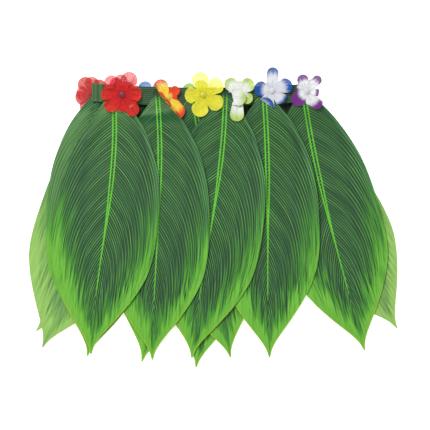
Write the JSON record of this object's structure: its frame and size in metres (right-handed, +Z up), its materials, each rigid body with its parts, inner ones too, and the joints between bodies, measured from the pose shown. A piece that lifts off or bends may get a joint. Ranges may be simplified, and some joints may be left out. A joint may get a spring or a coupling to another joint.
{
  "type": "leaf hula skirt",
  "caption": "Hula skirt laid flat: printed fabric leaves hang from a pressed loop of woven elastic, with a row of sheer petal flowers sewn along the waist.",
  "frame": {"origin": "middle of the skirt's box on the floor it lies on", "axes": "+X across the skirt to the right as seen from above, +Y from the leaf tips to the waistband, +Z up from the floor, out of the skirt's front"},
  "size_m": [0.5166, 0.4204, 0.0244],
  "materials": {
    "elastic": "woven elastic, matt, fine crosswise ribs",
    "leaf": "plain-weave polyester printed with a leaf, matt with a faint sheen",
    "petal_red": "sheer polyester, soft sheen",
    "petal_orange": "sheer polyester, yellow shading to red at the tips",
    "petal_yellow": "sheer polyester, soft sheen",
    "petal_lime": "sheer polyester, white shading to lime at the tips",
    "petal_blue": "sheer polyester, white shading to blue at the tips",
    "petal_purple": "sheer polyester, white shading to purple at the tips",
    "petal_magenta": "sheer polyester, soft sheen",
    "petal_white": "sheer polyester, soft sheen",
    "stud": "small moulded plastic stud, satin"
  },
  "bodies": {
    "root": {"flower_fold_stud": "stud", "flower_fold_layer_1": "petal_red", "flower_fold_layer_2": "petal_red", "flower_back_magenta_stud": "stud", "flower_back_magenta": "petal_magenta", "flower_back_blue_stud": "stud", "flower_back_blue": "petal_blue", "flower_back_lime_stud": "stud", "flower_back_lime": "petal_lime", "flower_back_white_stud": "stud", "flower_back_white": "petal_white", "flower_back_purple_stud": "stud", "flower_back_purple": "petal_purple", "leaf_back_5": "leaf", "leaf_back_2": "leaf", "leaf_back_4": "leaf", "leaf_back_1": "leaf", "leaf_back_6": "leaf", "leaf_back_3": "leaf", "waistband": "elastic", "leaf_under_1": "leaf", "leaf_under_2": "leaf", "leaf_front_5": "leaf", "leaf_front_4": "leaf", "leaf_front_3": "leaf", "leaf_front_2": "leaf", "leaf_front_1": "leaf", "flower_red_layer_1": "petal_red", "flower_red_layer_2": "petal_red", "flower_red_stud": "stud", "flower_orange": "petal_orange", "flower_orange_stud": "stud", "flower_yellow": "petal_yellow", "flower_yellow_stud": "stud", "flower_lime": "petal_lime", "flower_lime_stud": "stud", "flower_blue": "petal_blue", "flower_blue_stud": "stud", "flower_purple": "petal_purple", "flower_purple_stud": "stud"}
  },
  "joints": []
}
